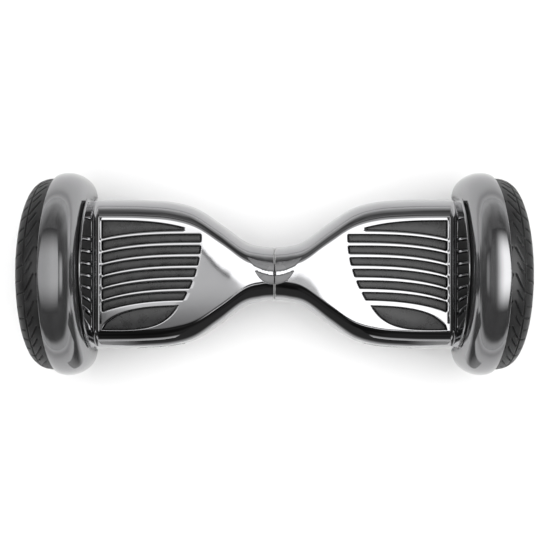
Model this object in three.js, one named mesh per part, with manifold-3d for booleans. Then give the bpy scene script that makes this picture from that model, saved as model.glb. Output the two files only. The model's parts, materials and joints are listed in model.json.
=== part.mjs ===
// Self balancing hoverboard on two 10 inch hub motor wheels.
// Millimetres, +Z up. The origin is on the ground under the middle of the board, X runs from wheel
// to wheel and the front of the board faces -Y. Every part of one half is drawn at +X; the left
// half is the same geometry in a group that is mirrored in X.
import * as THREE from "three";
import { mergeVertices } from "three/addons/utils/BufferGeometryUtils.js";
import Module from "manifold-3d";

const wasm = await Module();
wasm.setup();

// ---- Driving dimensions ----
const GAP = 0.3; // clearance between pieces that touch
const WALL = 3; // moulded shell thickness

const TYRE = { r: 127, bead: 80, halfWidth: 29, x: 285, segments: 36 };
const AXLE_Z = TYRE.r * Math.cos(Math.PI / TYRE.segments); // the tyre stands on one of its facets

// Body of one half, lofted from a round neck at x = 0 to a wide foot platform. Heights are above
// the axle line.
const BODY = { joint: 0.6, end: 237, deck: 42, keel: 62, neck: 35.5, topEdge: 27, keelEdge: 40 };
const BODY_STATIONS = [BODY.joint, 13, 27, 39, 50, 61, 73, 84, 95, 112, 134, 170, BODY.end];
const AROUND = 24; // section points, 15 degrees apart
const FLAT_STEP = (2 * Math.PI) / AROUND; // the flat of the deck takes one step each side of the top
const PARTING = -5; // height of the joint line between the top and bottom shells
const PLAN = [
  [-20, 36.5], [0, 35.3], [17, 36.6], [38, 42.8], [70, 66], [102, 86.5], [134, 95.4], [172, 98.3],
  [205, 99], [240, 99],
]; // half width of the body in plan

// Openings in the deck and in the raised end wall
const RIBS = {
  count: 7, wheelX: 221, neckX: 94, wheelY: 44, wheelPitch: 15.7, neckY: 53.5, neckPitch: 14.9,
  wheelHalf: 2.1, neckHalf: 2.7,
};
const DECK_EDGE = 68.5; // how far the openings reach to the front and back
const END_WALL = { r: 109.5, y: 6, x: BODY.end - WALL, halfWidth: 96, cellZ: 57, rim: 3.5, fillet: 12 };

const FENDER = { x: BODY.end + 1, r: 134, below: 14, flangeR: 80 };
const HUB = { seat: 79, cavity: 70, bearing: 18.6, inner: 258, outer: 304 };
const AXLE = { r: 8, shoulder: 10, start: 194, end: 303.5 };
const SHAFT = { r: 13.8, bore: 10.5, half: 101 };
const BOSS = { r: 24, start: 5, end: 96 };
const TRAY = { start: 92, end: 228, halfWidth: 66, floor: -18, top: 29, wall: 4 };
const EARS = [[128, 75], [205, 81]]; // where the top shell's posts stand on ears of the tray
const FEET = [[112, 58], [216, 58]]; // where the bottom shell's posts meet the tray's floor
const MAT = { low: 33, high: 38.4, stripe: 41.3 };
const PORT = { x: 208, y: -26 }; // charge socket, in the right half's bottom shell
const SWITCH = { x: 208, y: 26 }; // power button, beside it

// ---- Materials ----
const paint = (color, roughness, metalness = 0) =>
  new THREE.MeshStandardMaterial({ color, roughness, metalness });
const MATERIALS = {
  chrome: paint(0xc9cbce, 0.08, 1),
  rubber: paint(0x2b2c2e, 0.75),
  tyre: paint(0x262728, 0.85),
  alloy: paint(0x9da1a5, 0.4, 1),
  steel: paint(0xb4b7ba, 0.3, 1),
  blackPlastic: paint(0x1a1b1c, 0.5),
  lens: paint(0x8f9296, 0.2),
  clearLens: paint(0xdfe6ea, 0.08),
  board: paint(0x1f5a3a, 0.6),
  battery: paint(0x2f5fae, 0.45),
  magnet: paint(0x6e7073, 0.35, 1),
  lamination: paint(0x5a5c5f, 0.5, 1),
};

// ---- Solids ----
function solid(geometry) {
  const bare = new THREE.BufferGeometry();
  bare.setAttribute("position", geometry.getAttribute("position"));
  if (geometry.index) bare.setIndex(geometry.index);
  const merged = mergeVertices(bare, 1e-4);
  const index = merged.index.array;
  const kept = [];
  for (let i = 0; i < index.length; i += 3) {
    const [a, b, c] = [index[i], index[i + 1], index[i + 2]];
    if (a !== b && b !== c && c !== a) kept.push(a, b, c);
  }
  const build = (triVerts) =>
    new wasm.Manifold(
      new wasm.Mesh({
        numProp: 3,
        vertProperties: Float32Array.from(merged.attributes.position.array),
        triVerts: Uint32Array.from(triVerts),
      }),
    );
  const made = build(kept);
  if (made.volume() > 0) return made;
  return build(kept.reverse());
}

function geometryOf(made) {
  const mesh = made.getMesh();
  const positions = new Float32Array(mesh.numVert * 3);
  for (let i = 0; i < mesh.numVert; i++) {
    const start = i * mesh.numProp;
    positions.set(mesh.vertProperties.subarray(start, start + 3), i * 3);
  }
  const geometry = new THREE.BufferGeometry();
  geometry.setAttribute("position", new THREE.BufferAttribute(positions, 3));
  geometry.setIndex(new THREE.BufferAttribute(Uint32Array.from(mesh.triVerts), 1));
  geometry.computeVertexNormals();
  return geometry;
}

const joined = (...solids) => solids.reduce((all, next) => all.add(next));
const box = (x0, x1, y0, y1, z0, z1) =>
  solid(new THREE.BoxGeometry(x1 - x0, y1 - y0, z1 - z0)
    .translate((x0 + x1) / 2, (y0 + y1) / 2, (z0 + z1) / 2));
const rod = (x0, x1, r, segments, y = 0, z = 0) =>
  solid(new THREE.CylinderGeometry(r, r, x1 - x0, segments)
    .rotateZ(-Math.PI / 2)
    .translate((x0 + x1) / 2, y, z));
const post = (x, y, z0, z1, r, segments) =>
  solid(new THREE.CylinderGeometry(r, r, z1 - z0, segments)
    .rotateX(Math.PI / 2)
    .translate(x, y, (z0 + z1) / 2));

// A profile of [x, radius] points turned about the axle line; a loop, or a line from axis to axis.
function turned(profile, segments) {
  const points = profile.map(([x, r]) => new THREE.Vector2(r, x));
  if (profile[0][1] > 0) points.push(points[0]);
  const lathe = new THREE.LatheGeometry(points, segments, Math.PI / segments);
  return solid(lathe.rotateZ(-Math.PI / 2));
}

// An outline of [a, b] points, given thickness along Z, and laid in the XY plane, the XZ plane
// (reaching from y0 to y1) or the YZ plane (reaching from x0 to x1).
function plate(outline, from, to) {
  const shape = new THREE.Shape(outline.map(([a, b]) => new THREE.Vector2(a, b)));
  const geometry = new THREE.ExtrudeGeometry(shape, { depth: to - from, bevelEnabled: false });
  return geometry.translate(0, 0, from);
}
const plateXY = (outline, z0, z1) => solid(plate(outline, z0, z1));
const plateXZ = (outline, y0, y1) => solid(plate(outline, -y1, -y0).rotateX(Math.PI / 2));
const plateYZ = (outline, x0, x1) => {
  const laid = plate(outline, x0, x1).rotateY(Math.PI / 2).rotateX(Math.PI / 2);
  return solid(laid);
};

function tube(points, r, sides, steps) {
  const path = new THREE.CatmullRomCurve3(points.map((p) => new THREE.Vector3(...p)));
  const section = new THREE.Shape();
  section.absarc(0, 0, r, 0, 2 * Math.PI);
  const ring = new THREE.Shape(section.getPoints(sides).slice(0, sides));
  return solid(new THREE.ExtrudeGeometry(ring, { steps, extrudePath: path, bevelEnabled: false }));
}

// Moves each corner of an outline inwards by the same distance.
function inset(outline, distance) {
  const turn = Math.sign(THREE.ShapeUtils.area(outline.map(([x, y]) => ({ x, y }))));
  return outline.map(([x, y], i) => {
    const [px, py] = outline[(i + outline.length - 1) % outline.length];
    const [nx, ny] = outline[(i + 1) % outline.length];
    const before = new THREE.Vector2(x - px, y - py).normalize();
    const after = new THREE.Vector2(nx - x, ny - y).normalize();
    const along = before.clone().add(after).normalize();
    const stretch = Math.min(3, 1 / Math.max(0.2, along.dot(after)));
    return [x - along.y * distance * stretch * turn, y + along.x * distance * stretch * turn];
  });
}

// ---- The body's form ----
const planCurve = new THREE.SplineCurve(PLAN.map(([x, y]) => new THREE.Vector2(x, y)));
const planPoints = planCurve.getPoints(200);

function halfWidth(x) {
  const i = planPoints.findIndex((p) => p.x >= x);
  const [a, b] = [planPoints[i - 1], planPoints[i]];
  return a.y + ((b.y - a.y) * (x - a.x)) / (b.x - a.x);
}

const bothSides = (places) => places.flatMap(([x, y]) => [[x, y], [x, -y]]);
const ease = (x, start, end) => THREE.MathUtils.smoothstep(x, start, end);
const topRise = (x) => BODY.neck + (BODY.deck - BODY.neck) * ease(x, 4, 94);
const keelDrop = (x) => BODY.neck + (BODY.keel - BODY.neck) * ease(x, 0, 100);

// The point of the section at x that lies at an angle, for the outer skin or a skin inside it.
function sectionPoint(x, angle, insideBy) {
  const up = Math.sin(angle) >= 0;
  const side = Math.sign(Math.round(Math.cos(angle) * 1e6));
  const fromSide = Math.asin(Math.min(1, Math.abs(Math.sin(angle))));
  const half = halfWidth(Math.max(0, x));
  const flat = Math.max(6, half - (up ? BODY.topEdge : BODY.keelEdge));
  const rise = (up ? topRise(x) : keelDrop(x)) - insideBy;
  const cornerEnd = Math.PI / 2 - FLAT_STEP;
  const height = up ? rise : -rise;
  if (fromSide > cornerEnd + 1e-6) return [(side * flat * (Math.PI / 2 - fromSide)) / FLAT_STEP, height];
  const corner = ((fromSide / cornerEnd) * Math.PI) / 2;
  return [side * (flat + (half - insideBy - flat) * Math.cos(corner)), height * Math.sin(corner)];
}

function bodySolid(insideBy, stations) {
  const steps = stations.length - 1;
  const geometry = new THREE.CylinderGeometry(1, 1, steps, AROUND, steps);
  geometry.rotateZ(-Math.PI / 2);
  const place = geometry.getAttribute("position");
  for (let i = 0; i < place.count; i++) {
    const x = stations[Math.round(place.getX(i) + steps / 2)];
    const radius = Math.hypot(place.getY(i), place.getZ(i));
    const angle = Math.atan2(place.getZ(i), place.getY(i));
    const [y, z] = radius < 0.5 ? [0, 0] : sectionPoint(x, angle, insideBy);
    place.setXYZ(i, x, y, z);
  }
  return solid(geometry);
}

const outerBody = bodySolid(0, BODY_STATIONS);
const innerBody = bodySolid(WALL, [-5, ...BODY_STATIONS.slice(1, -1), BODY.end - WALL]);
const bodyShell = outerBody
  .subtract(innerBody)
  .subtract(rod(BODY.end - 2 * WALL, BODY.end + WALL, 13, 16));

// ---- Openings of the deck and the end wall ----
function ribY(k, x) {
  const share = THREE.MathUtils.clamp((x - RIBS.neckX) / (RIBS.wheelX - RIBS.neckX), 0, 1);
  const atNeck = RIBS.neckY - RIBS.neckPitch * k;
  const atWheel = RIBS.wheelY - RIBS.wheelPitch * k;
  return atNeck + (atWheel - atNeck) * share ** 3;
}
function ribHalf(x) {
  const share = (x - RIBS.neckX) / (RIBS.wheelX - RIBS.neckX);
  return RIBS.neckHalf + (RIBS.wheelHalf - RIBS.neckHalf) * share;
}
const spaced = (from, to, count) =>
  Array.from({ length: count + 1 }, (_, i) => from + ((to - from) * i) / count);

// The six slots between the ribs, whose ends near the neck step outwards towards the front
function slotOutline(k) {
  const start = RIBS.neckX + 0.83 * (k - 1) ** 2;
  const along = spaced(start, RIBS.wheelX, 5);
  const back = along.map((x) => [x, ribY(k - 1, x) - ribHalf(x)]);
  const front = along.map((x) => [x, ribY(k, x) + ribHalf(x)]);
  return [...back, ...front.reverse()];
}
// The long wedge behind the slots
function wedgeOutline() {
  const tip = 114;
  const along = spaced(tip, RIBS.wheelX, 5);
  const reach = RIBS.wheelX - tip;
  const back = along.map((x) => [x, DECK_EDGE - 10 * ((RIBS.wheelX - x) / reach) ** 3]);
  const front = along.slice(1).map((x) => [x, ribY(0, x) + ribHalf(x)]);
  return [...back, ...front.reverse()];
}
// The leaf in front of the slots
function leafOutline() {
  const [tip, root] = [new THREE.Vector2(124, -41), new THREE.Vector2(RIBS.wheelX, -72)];
  const back = new THREE.CubicBezierCurve(
    root, new THREE.Vector2(212, -47), new THREE.Vector2(170, -41.5), tip);
  const front = new THREE.CubicBezierCurve(
    tip, new THREE.Vector2(142, -72), new THREE.Vector2(170, -73), root);
  const points = [...back.getPoints(6), ...front.getPoints(6).slice(1, -1)];
  return points.map((p) => [p.x, p.y]);
}
const deckOpenings = [wedgeOutline(), ...spaced(1, 6, 5).map(slotOutline), leafOutline()];

// A cell of the end wall; the ribs lean to the back as they rise, the more the nearer the front.
function cellOutline(back, front) {
  const low = END_WALL.cellZ;
  const leanOf = (y) => 0.0014 * (RIBS.wheelY - y) ** 2;
  const top = (y) => Math.sqrt((END_WALL.r - END_WALL.rim) ** 2 - (y - END_WALL.y) ** 2);
  const [backTop, frontTop] = [back + leanOf(back), front + leanOf(front)];
  return [[back, low], [backTop, top(backTop)], [frontTop, top(frontTop)], [front, low]];
}
function wallCells() {
  const edge = RIBS.wheelHalf;
  const ribs = spaced(0, RIBS.count - 1, RIBS.count - 1).map((k) => RIBS.wheelY - RIBS.wheelPitch * k);
  const between = ribs.slice(1).map((y, i) => cellOutline(ribs[i] - edge, y + edge));
  const ends = [cellOutline(DECK_EDGE, ribs[0] + edge), cellOutline(ribs.at(-1) - 6, -DECK_EDGE)];
  return [...between, ...ends];
}

// ---- Parts of one half ----
const crescents = {
  upper: [[0, 14.9], [16, 16.8], [34.5, 20.8], [27, 10.5], [16, 5.2], [0, 3.2]],
  lower: [[0, -2], [12, -0.6], [24.6, 3.9], [19, -4.6], [12, -10.2], [0, -14.2]],
};
const headlight = [
  [118, 8], [126, 14], [150, 15.5], [174, 14], [182, 8], [174, 2.5], [150, 1], [126, 2.5],
];
const crescentPrism = (outline) => plateXY(outline, 5, 60);
const headlightPrism = (outline) => plateXZ(outline, -110, -80);

function topShell() {
  const archOutline = spaced(-65, 65, 14).map((deg) => {
    const angle = THREE.MathUtils.degToRad(deg);
    const y = END_WALL.y + END_WALL.r * Math.sin(angle);
    const reach = THREE.MathUtils.clamp(y, -END_WALL.halfWidth, END_WALL.halfWidth);
    return [reach, END_WALL.r * Math.cos(angle)];
  });
  const foot = BODY.deck - 14;
  const arch = plateYZ(
    [[-END_WALL.halfWidth + 8, foot], ...archOutline, [END_WALL.halfWidth - 8, foot]],
    END_WALL.x, BODY.end,
  );
  const r = END_WALL.fillet;
  const curve = spaced(0, 90, 5).map((deg) => {
    const angle = THREE.MathUtils.degToRad(deg);
    return [END_WALL.x - r + r * Math.sin(angle), BODY.deck + r - r * Math.cos(angle)];
  });
  const fillet = plateXZ(
    [...curve, [END_WALL.x + 1, BODY.deck + r], [END_WALL.x + 1, BODY.deck - 1],
      [END_WALL.x - r, BODY.deck - 1]], -72, 72,
  );
  const posts = bothSides(EARS).map(([x, y]) => post(x, y, TRAY.top + GAP, BODY.deck - 2, 4, 8));
  const upper = bodyShell.intersect(box(-1, 250, -120, 120, PARTING + GAP / 2, 80));
  let shell = joined(upper, arch, fillet, ...posts.map((one) => one.intersect(outerBody)));
  for (const outline of deckOpenings) shell = shell.subtract(plateXY(outline, 30, 50));
  for (const cell of wallCells()) shell = shell.subtract(plateYZ(cell, END_WALL.x - 3, 240));
  for (const outline of Object.values(crescents)) {
    shell = shell.subtract(crescentPrism([[-2, outline[0][1]], ...outline, [-2, outline.at(-1)[1]]]));
  }
  return shell.subtract(headlightPrism(headlight));
}

function bottomShell(isRight) {
  const posts = bothSides(FEET).map(([x, y]) => post(x, y, 1 - BODY.keel, TRAY.floor - GAP, 5, 8));
  const lower = bodyShell.intersect(box(-1, 250, -120, 120, -80, PARTING - GAP / 2));
  const shell = joined(lower, ...posts.map((one) => one.intersect(outerBody)));
  if (!isRight) return shell;
  return shell
    .subtract(post(PORT.x, PORT.y, -70, -50, 9.3, 16))
    .subtract(post(SWITCH.x, SWITCH.y, -70, -50, 8.6, 16));
}

const lampLens = (outline) =>
  bodyShell
    .intersect(crescentPrism(inset(outline, GAP)))
    .intersect(box(BODY.joint, 60, -40, 40, 5, 60));
const headlightLens = () => bodyShell.intersect(headlightPrism(inset(headlight, GAP)));
const headlightBoard = () => box(124, 176, -86, -84.4, 3, 13);

// Half an arch over the wheel, with a flange that faces the body's end wall
function fender() {
  const { x, r } = FENDER;
  const outer = [[x, 104], [x + 1, 112], [x + 4, 120], [x + 9, 126.5], [x + 17, 131.5], [x + 28, r]];
  const lip = [[x + 43, r - 1.8], [x + 43, r - 4.6]];
  const under = [[x + 28, r - 3], [x + 18.5, r - 5.2], [x + 11, r - 10.5], [x + 6.6, r - 16]];
  const flange = [[x + 6.6, FENDER.flangeR], [x + 3.9, FENDER.flangeR], [x + 3.9, 104]];
  const ring = turned([...outer, ...lip, ...under, ...flange], 36);
  const bosses = bothSides([[5, 88], [28, 86]]).map(([z, y]) => rod(BODY.end + GAP, x + 5, 4, 6, y, z));
  return joined(ring.subtract(box(x - 20, x + 60, -150, 150, -150, -FENDER.below)), ...bosses);
}

// Rubber panel behind the end wall, whose stripes fill the wall's cells
function kickPad() {
  const r = END_WALL.r - 11;
  const arc = spaced(-54, 54, 10).map((deg) => {
    const angle = THREE.MathUtils.degToRad(deg);
    return [END_WALL.y / 2 + r * Math.sin(angle), r * Math.cos(angle)];
  });
  const panel = plateYZ([[-76, 50], ...arc, [88, 50]], BODY.end + GAP, BODY.end + 3.6);
  const stripes = wallCells().map((cell) =>
    plateYZ(inset(cell, 0.5), BODY.end - WALL + 0.8, BODY.end + 0.6));
  return joined(panel, ...stripes);
}

// Rubber mat under the deck, whose stripes fill the deck's openings; two blades below it reach
// for the step sensors
function footMat() {
  const outline = [
    [227, 71.5], [150, 69.5], [112, 62], [91, 51], [89, 20], [98, -14], [109, -38], [132, -62],
    [158, -70], [227, -72],
  ];
  const slab = plateXY(outline, MAT.low, MAT.high);
  const stripes = deckOpenings.map((opening) => plateXY(inset(opening, 0.5), MAT.high - 1, MAT.stripe));
  const blades = [-45, 45].map((y) => box(160, 168, y - 1.5, y + 1.5, 16, MAT.low + 1));
  return joined(slab, ...stripes, ...blades);
}

// Cast tray with a tubular neck; the saddle at its outer end holds the wheel's axle
function frame(isRight) {
  const { start, end, halfWidth: half, floor, top, wall } = TRAY;
  const tray = box(start, end, -half, half, floor, top);
  const inside = box(start + wall, end - wall, -half + wall, half - wall, floor + wall, top + 10);
  const boss = rod(BOSS.start, BOSS.end, BOSS.r, 20);
  const ears = EARS.map(([x, y]) => box(x - 7, x + 7, -y - 5, y + 5, top - 6, top));
  const bore = isRight ? SHAFT.r + 3.7 : SHAFT.r + GAP;
  const saddle = box(196, 222, -22, 22, floor + 1, -GAP);
  const grooves = rod(190, end + 5, AXLE.r + GAP, 16);
  const notch = box(end - wall - 1, end + 1, -12, 12, -10, top + 1);
  const floorSlot = box(96, 112, -24, 24, floor - 1, floor + wall + 1);
  return joined(joined(tray, boss, ...ears).subtract(inside), saddle)
    .subtract(rod(BOSS.start - 1, BOSS.end + 1, bore, 20))
    .subtract(grooves)
    .subtract(notch)
    .subtract(floorSlot);
}

function axleClamp() {
  const cap = box(196, 222, -22, 22, GAP, 13).subtract(rod(190, 230, AXLE.r + GAP, 16));
  const bolts = [202, 216].flatMap((x) => [-16, 16].map((y) => post(x, y, 12, 17, 4, 6)));
  return joined(cap, ...bolts);
}

const axle = () =>
  turned([
    [AXLE.start, 0], [AXLE.start, AXLE.r], [252, AXLE.r], [252, AXLE.shoulder],
    [294, AXLE.shoulder], [294, AXLE.r], [AXLE.end, AXLE.r], [AXLE.end, 0],
  ], 16);

// Laminated core with 27 open teeth
function stator() {
  const teeth = 27;
  const step = (2 * Math.PI) / teeth;
  const outline = spaced(0, teeth - 1, teeth - 1).flatMap((i) =>
    [[-0.4, 65], [0.4, 65], [0.42, 46], [0.58, 46]].map(([turn, r]) =>
      [r * Math.cos((i + turn) * step), r * Math.sin((i + turn) * step)]));
  return plateYZ(outline, 271, 292).subtract(rod(260, 310, AXLE.shoulder + GAP, 20));
}

function sensorBoard() {
  const card = box(118, 188, -52, 52, -8, -6.4);
  const feet = [124, 182].map((x) => box(x - 3, x + 3, -49, 49, TRAY.floor + TRAY.wall + GAP, -7));
  const eyes = [-45, 45].map((y) => box(158, 170, y - 4, y + 4, -7, 13));
  return joined(card, ...feet, ...eyes);
}

// ---- Parts of one wheel ----
function hub() {
  const { inner, seat, cavity, bearing: bore, outer } = HUB;
  return turned([
    [inner, bore], [inner, 26], [inner + 4, 30], [inner + 4, 74], [inner + 2.4, 85.5],
    [inner + 5, 86], [inner + 5.6, seat], [outer + 2.4, seat], [outer + 3, 86], [outer + 5.6, 85.5],
    [outer + 3, 74.5], [outer, 74], [outer, cavity], [inner + 9, cavity], [inner + 9, 30],
    [inner + 12, 26], [inner + 12, bore],
  ], 28);
}
function hubCover() {
  const x = HUB.outer + GAP;
  const disc = turned([
    [x, 0], [x, HUB.bearing], [x - 10, HUB.bearing], [x - 10, 22], [x, 22], [x, 73],
    [x + 2.8, 73], [x + 1.6, 50], [x + 2.4, 24], [x + 5.4, 16], [x + 5.4, 0],
  ], 28);
  const bolts = spaced(0, 5, 5).map((i) => {
    const angle = (i * Math.PI) / 3 + Math.PI / 6;
    return rod(x + 1, x + 5.4, 4.2, 6, 62 * Math.cos(angle), 62 * Math.sin(angle));
  });
  return joined(disc, ...bolts);
}
const magnetRing = () => turned([[269, 66], [269, 69], [295, 69], [295, 66]], 28);
const bearing = (x0, x1, bore) => turned([[x0, bore], [x0, 18], [x1, 18], [x1, bore]], 16);
const valve = () => rod(HUB.outer + 5.9, HUB.outer + 9.6, 2.8, 8, 0, 79.5);
function tyre() {
  const { x, r, bead } = TYRE;
  const side = [[9, r], [20, r - 3.8], [26.5, r - 12], [29, r - 24], [26, 91], [20.6, 87], [20.6, bead]];
  const lining = [[16, bead], [22.5, 99], [13, 117]];
  const outer = [...side.map(([a, b]) => [x - a, b]).reverse(), ...side.map(([a, b]) => [x + a, b])];
  const inner = [...lining.map(([a, b]) => [x + a, b]), ...lining.map(([a, b]) => [x - a, b]).reverse()];
  return turned([...outer, ...inner], TYRE.segments);
}
const innerTube = () =>
  turned(spaced(0, 5, 5).map((i) => {
    const angle = (i * Math.PI) / 3;
    return [TYRE.x + 15 * Math.cos(angle), 99 - 14.5 * Math.sin(angle)];
  }), 24);

// ---- Parts that only one half has, or that join the two ----
const pivotShaft = () =>
  turned([
    [-SHAFT.half, SHAFT.bore], [-SHAFT.half, SHAFT.r], [SHAFT.half, SHAFT.r], [SHAFT.half, SHAFT.bore],
  ], 20);
const pivotBush = (x0, x1) =>
  turned([[x0, SHAFT.r + GAP], [x0, SHAFT.r + 3.4], [x1, SHAFT.r + 3.4], [x1, SHAFT.r + GAP]], 20);
const retainingRing = () =>
  turned([[96.5, SHAFT.r + GAP], [96.5, 20], [99.5, 20], [99.5, SHAFT.r + GAP]], 20);
const neckSeal = () => turned([[-0.4, 27], [-0.4, 34], [0.4, 34], [0.4, 27]], 24);
const wiringLoom = () => rod(-112, 112, 8, 10);
const leftCable = () =>
  tube([[-193.5, 0, 0], [-180, 0, 0], [-160, 10, -1], [-132, 6, 0], [-120, 0, 0], [-112.6, 0, 0]], 3.2, 8, 16);
const rightCable = () =>
  tube([[193.5, 0, 0], [178, 0, 0], [150, 14, 0], [124, 16, -1], [108, 16, -8], [104, 16, -28]],
    3.2, 8, 16);

function batteryPack() {
  const chamfer = 5;
  const [y, low, high] = [46, -58, TRAY.floor - GAP];
  const outline = [
    [-y, low + chamfer], [-y + chamfer, low], [y - chamfer, low], [y, low + chamfer],
    [y, high], [-y, high],
  ];
  return plateYZ(outline, 99, 229);
}
// U-shaped strap round the battery, fixed to the tray's floor flanks
function batteryStrap() {
  const outline = [[-51, -19], [-51, -50], [-46.5, -58.6], [46.5, -58.6], [51, -50], [51, -19],
    [49, -19], [49, -52], [46, -58.25], [-46, -58.25], [-49, -52], [-49, -19]];
  return plateYZ(outline, 156, 172);
}
const heatSink = () => box(114, 194, -44, 44, -23, TRAY.floor - GAP);
function controlBoard() {
  const card = box(112, 194, -46, 46, -27.5, -25.9);
  const capacitors = [128, 148, 168].map((x) => post(x, 24, -46, -27, 8, 10));
  const connectors = [-30, -8].map((y) => box(118, 190, y, y + 10, -36, -27));
  const pads = box(120, 188, -40, 12, -26.5, -23 - GAP);
  return joined(card, ...capacitors, ...connectors, pads);
}
function chargeSocket() {
  const { x, y } = PORT;
  const lug = joined(
    box(x - 4, x + 4, y - 19.4, y - 8, -64.2, -62.3),
    box(x - 4, x + 4, y - 19.4, y - 17.6, -67, -62.3),
  );
  return joined(post(x, y, -64.5, -62.3, 12, 16), post(x, y, -63, -44, 9, 16), lug)
    .subtract(post(x, y, -66, -48, 6.6, 16));
}
function chargeCap() {
  const { x, y } = PORT;
  const lid = post(x, y, -67.4, -64.8, 12, 16);
  const plug = post(x, y, -65, -62.4, 5.4, 12);
  const strap = box(x - 4, x + 4, y - 16, y - 9, -67.4, -65.4);
  return joined(lid, plug, strap);
}
function powerSwitch() {
  const { x, y } = SWITCH;
  return joined(post(x, y, -64.5, -62.3, 10.5, 16), post(x, y, -63, -46, 8.2, 16))
    .subtract(post(x, y, -66, -49, 6.4, 16));
}
const powerButton = () => post(SWITCH.x, SWITCH.y, -65.3, -52, 6, 16);

// ---- Assembly ----
const hoverboard = new THREE.Group();
hoverboard.name = "hoverboard";
const onAxle = (side) => {
  const group = new THREE.Group();
  group.position.z = AXLE_Z;
  group.scale.x = side;
  hoverboard.add(group);
  return group;
};
function put(group, name, made, material) {
  const mesh = new THREE.Mesh(geometryOf(made), MATERIALS[material]);
  mesh.name = name;
  group.add(mesh);
}

for (const [side, prefix] of [[-1, "left"], [1, "right"]]) {
  const half = onAxle(side);
  const isRight = side > 0;
  const add = (name, made, material) => put(half, `${prefix}_${name}`, made, material);
  add("frame", frame(isRight), "alloy");
  add("top_shell", topShell(), "chrome");
  add("bottom_shell", bottomShell(isRight), "chrome");
  add("fender", fender(), "chrome");
  add("kick_pad", kickPad(), "rubber");
  add("foot_mat", footMat(), "rubber");
  add("lamp_upper", lampLens(crescents.upper), "lens");
  add("lamp_lower", lampLens(crescents.lower), "lens");
  add("headlight_lens", headlightLens(), "clearLens");
  add("headlight_board", headlightBoard(), "board");
  add("sensor_board", sensorBoard(), "board");
  add("axle_clamp", axleClamp(), "alloy");
  add("axle", axle(), "steel");
  add("stator", stator(), "lamination");
  add("hub", hub(), "alloy");
  add("hub_cover", hubCover(), "alloy");
  add("magnet_ring", magnetRing(), "magnet");
  add("inner_bearing", bearing(HUB.inner + 0.5, HUB.inner + 11.5, AXLE.shoulder + GAP), "steel");
  add("outer_bearing", bearing(HUB.outer - 9.4, HUB.outer, AXLE.r + GAP), "steel");
  add("tyre", tyre(), "tyre");
  add("inner_tube", innerTube(), "rubber");
  add("valve", valve(), "blackPlastic");
}

const middle = onAxle(1);
put(middle, "pivot_shaft", pivotShaft(), "steel");
put(middle, "neck_seal", neckSeal(), "rubber");
put(middle, "retaining_ring", retainingRing(), "steel");
put(middle, "pivot_bush_near", pivotBush(8, 20), "blackPlastic");
put(middle, "pivot_bush_far", pivotBush(80, 92), "blackPlastic");
put(middle, "wiring_loom", wiringLoom(), "rubber");
put(middle, "left_motor_cable", leftCable(), "rubber");
put(middle, "right_motor_cable", rightCable(), "rubber");
put(middle, "heat_sink", heatSink(), "alloy");
put(middle, "control_board", controlBoard(), "board");
put(middle, "charge_socket", chargeSocket(), "blackPlastic");
put(middle, "charge_cap", chargeCap(), "rubber");
put(middle, "power_switch", powerSwitch(), "blackPlastic");
put(middle, "power_button", powerButton(), "steel");

const leftOnly = onAxle(-1);
put(leftOnly, "battery_pack", batteryPack(), "battery");
put(leftOnly, "battery_strap", batteryStrap(), "blackPlastic");

export default hoverboard;
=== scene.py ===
"""The look of the self balancing hoverboard. Pieces are drawn in millimetres from the axle line, +Z
up and the front at -Y. Both halves are drawn at +X, and the left one is mirrored."""

import json
import math

import bmesh
import bpy
import numpy as np
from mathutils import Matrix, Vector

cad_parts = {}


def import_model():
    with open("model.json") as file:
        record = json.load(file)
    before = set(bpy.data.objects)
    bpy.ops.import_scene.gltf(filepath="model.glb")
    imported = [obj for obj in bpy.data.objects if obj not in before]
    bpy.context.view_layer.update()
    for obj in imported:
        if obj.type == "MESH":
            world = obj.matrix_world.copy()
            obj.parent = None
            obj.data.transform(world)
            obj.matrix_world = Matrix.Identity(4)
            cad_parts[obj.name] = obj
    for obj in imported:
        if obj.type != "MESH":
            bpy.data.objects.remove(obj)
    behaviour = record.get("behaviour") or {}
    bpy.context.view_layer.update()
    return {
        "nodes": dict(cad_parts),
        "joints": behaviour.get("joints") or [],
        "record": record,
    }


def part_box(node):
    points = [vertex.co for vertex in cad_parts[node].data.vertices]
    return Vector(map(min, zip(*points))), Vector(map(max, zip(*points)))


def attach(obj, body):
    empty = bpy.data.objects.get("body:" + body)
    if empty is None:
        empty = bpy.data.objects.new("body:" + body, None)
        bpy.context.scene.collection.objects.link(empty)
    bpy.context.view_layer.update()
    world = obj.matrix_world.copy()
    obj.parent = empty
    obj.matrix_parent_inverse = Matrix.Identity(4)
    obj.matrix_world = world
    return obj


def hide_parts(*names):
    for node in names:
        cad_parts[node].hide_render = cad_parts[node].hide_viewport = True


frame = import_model()
joints = {j["name"]: j for j in frame["joints"]}
AXLE_Z = joints["pivot"]["pos_m"][2] * 1000
WHEEL_X = joints["right_wheel_spin"]["pos_m"][0] * 1000
BODY_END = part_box("right_top_shell")[1][0] * 1000
PARTING = -5.0
EDGE = 1.0  # rounding of the ribs
EDGE_STEPS = [-0.55, 0, 0.05, 0.18, 0.4, 0.7, EDGE]
SLOT_END = 222.0
DECK_END = SLOT_END + 1.5
CREASE = 225.1  # where the deck turns up into the end wall
CREASE_TILT = math.radians(25)
WALL_FOOT = BODY_END - 5.4
WALL_X = BODY_END - 3
WALL_R = 109.5
WALL_LIP = 1.5  # rounding of the end wall's rim
FACE_R = WALL_R - WALL_LIP
WALL_Y = 6.0
FILLET = (WALL_FOOT - CREASE) / (1 - math.sin(CREASE_TILT))
CELL_DEPTH = 2.8
WELL_DEPTH = 5.6
DECK_START = 94
DECK_TOP = 42
RIBS = 7
FIRST_RIB = 53.5  # where the rearmost rib starts, across the board
RIB_PITCH = 14.9
RIB_END = 221
RIB_RUN = RIB_END - DECK_START
NECK_SWEEP = 0.83  # how fast the slots' ends draw back towards the front


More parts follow.
